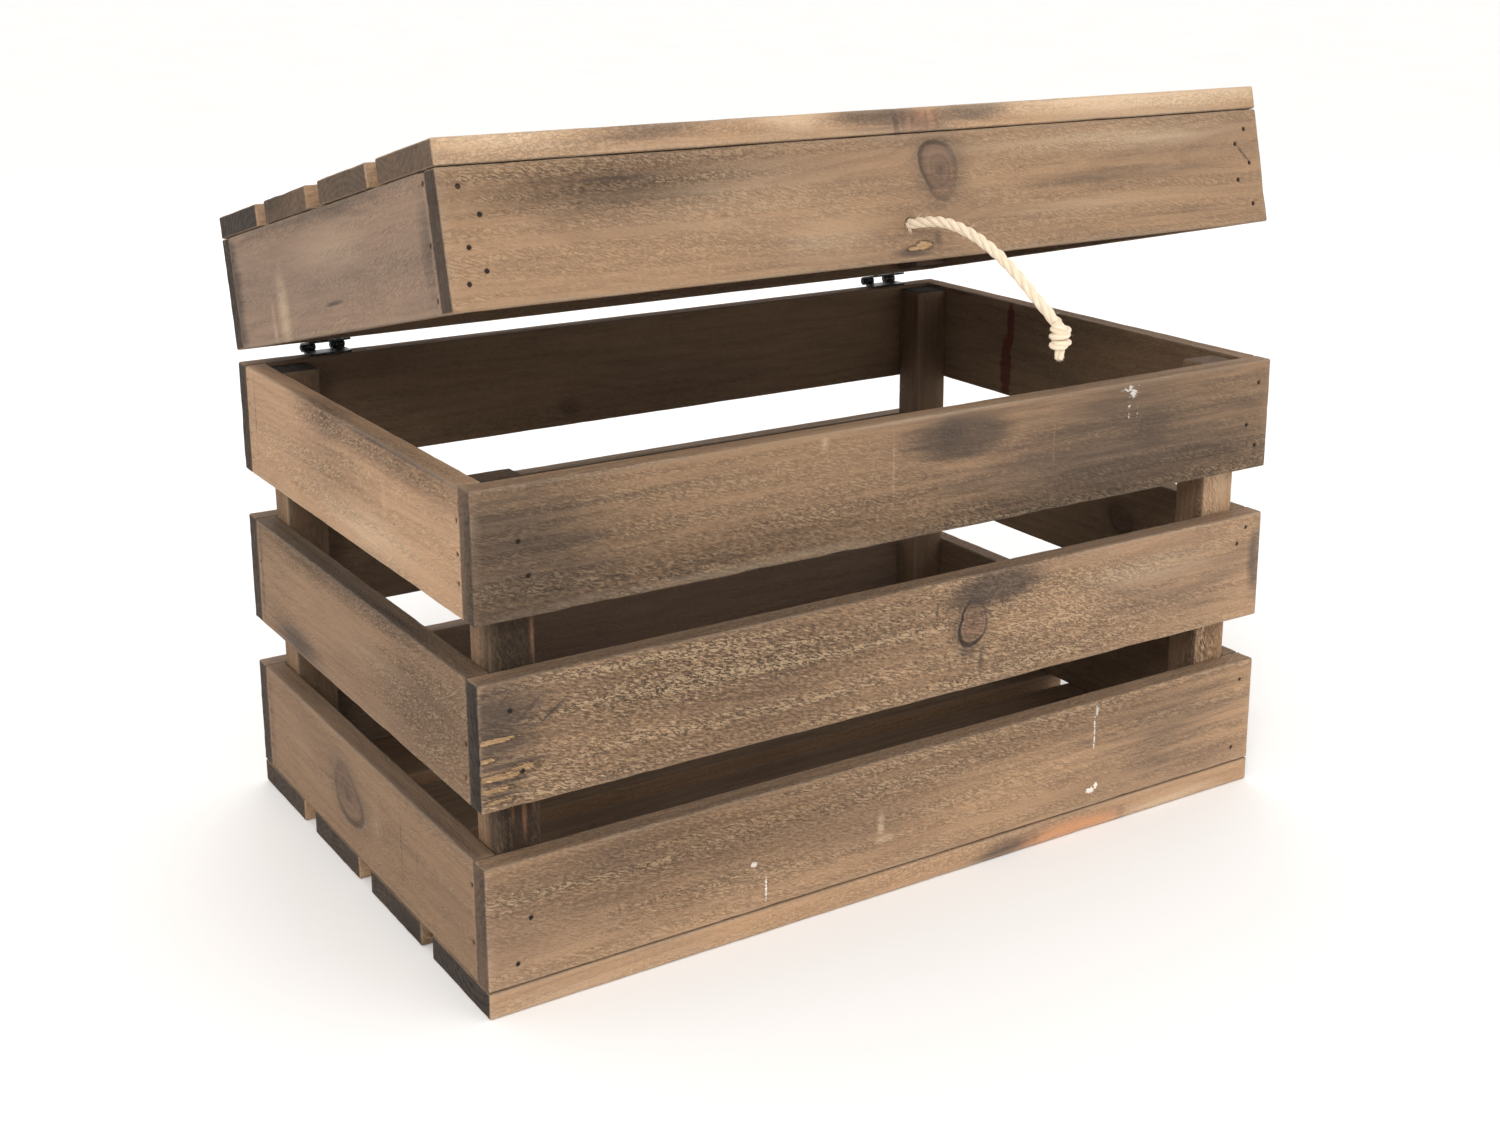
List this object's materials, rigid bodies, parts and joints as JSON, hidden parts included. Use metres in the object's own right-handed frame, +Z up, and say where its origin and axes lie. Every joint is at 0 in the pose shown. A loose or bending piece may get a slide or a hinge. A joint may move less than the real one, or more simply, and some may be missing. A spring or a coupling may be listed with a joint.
{
  "type": "shipping crate",
  "caption": "Slatted softwood shipping crate with nailed boards on corner posts, a hinged slatted lid and a knotted rope pull.",
  "frame": {"origin": "on the floor, at the middle of the box that the crate and its lid fill with the lid ajar as modelled, the rope pull left out", "axes": "+X along the crate's length to its right end seen from the front, +Y from the front to the hinged back, +Z up"},
  "size_m": [0.5, 0.4442, 0.4129],
  "materials": {
    "crate_wood": "sawn and stained grey-brown, weathered, matt",
    "post_wood": "rough sawn and stained grey-brown, matt",
    "nail": "dull, darkened wire nail",
    "hinge": "black, slightly worn",
    "rope": "twisted natural sisal"
  },
  "bodies": {
    "crate": {"back_base_slat": "crate_wood", "back_bottom_board": "crate_wood", "back_inner_base_slat": "crate_wood", "back_left_post": "post_wood", "back_middle_board": "crate_wood", "back_nails": "nail", "back_right_post": "post_wood", "back_top_board": "crate_wood", "base_nails": "nail", "front_base_slat": "crate_wood", "front_bottom_board": "crate_wood", "front_inner_base_slat": "crate_wood", "front_left_post": "post_wood", "front_middle_board": "crate_wood", "front_nails": "nail", "front_right_post": "post_wood", "front_top_board": "crate_wood", "left_bottom_board": "crate_wood", "left_hinge_lower_leaf": "hinge", "left_hinge_lower_screws": "hinge", "left_middle_board": "crate_wood", "left_nails": "nail", "left_top_board": "crate_wood", "right_bottom_board": "crate_wood", "right_hinge_lower_leaf": "hinge", "right_hinge_lower_screws": "hinge", "right_middle_board": "crate_wood", "right_nails": "nail", "right_top_board": "crate_wood"},
    "lid": {"left_hinge_pins": "hinge", "left_hinge_upper_leaf": "hinge", "left_hinge_upper_screws": "hinge", "lid_back_board": "crate_wood", "lid_back_inner_slat": "crate_wood", "lid_back_left_block": "post_wood", "lid_back_nails": "nail", "lid_back_right_block": "post_wood", "lid_back_slat": "crate_wood", "lid_front_board": "crate_wood", "lid_front_inner_slat": "crate_wood", "lid_front_left_block": "post_wood", "lid_front_nails": "nail", "lid_front_right_block": "post_wood", "lid_front_slat": "crate_wood", "lid_left_board": "crate_wood", "lid_left_nails": "nail", "lid_right_board": "crate_wood", "lid_right_nails": "nail", "lid_top_nails": "nail", "pull_rope": "rope", "right_hinge_pins": "hinge", "right_hinge_upper_leaf": "hinge", "right_hinge_upper_screws": "hinge", "rope_end_knot": "rope", "rope_inner_knot": "rope"}
  },
  "joints": [
    {"name": "lid_hinge", "type": "hinge", "parent": "crate", "child": "lid", "pos_m": [0, 0.15399, 0.26275], "axis": [-1, 0, 0], "range_deg": [-13.9, 170]}
  ]
}
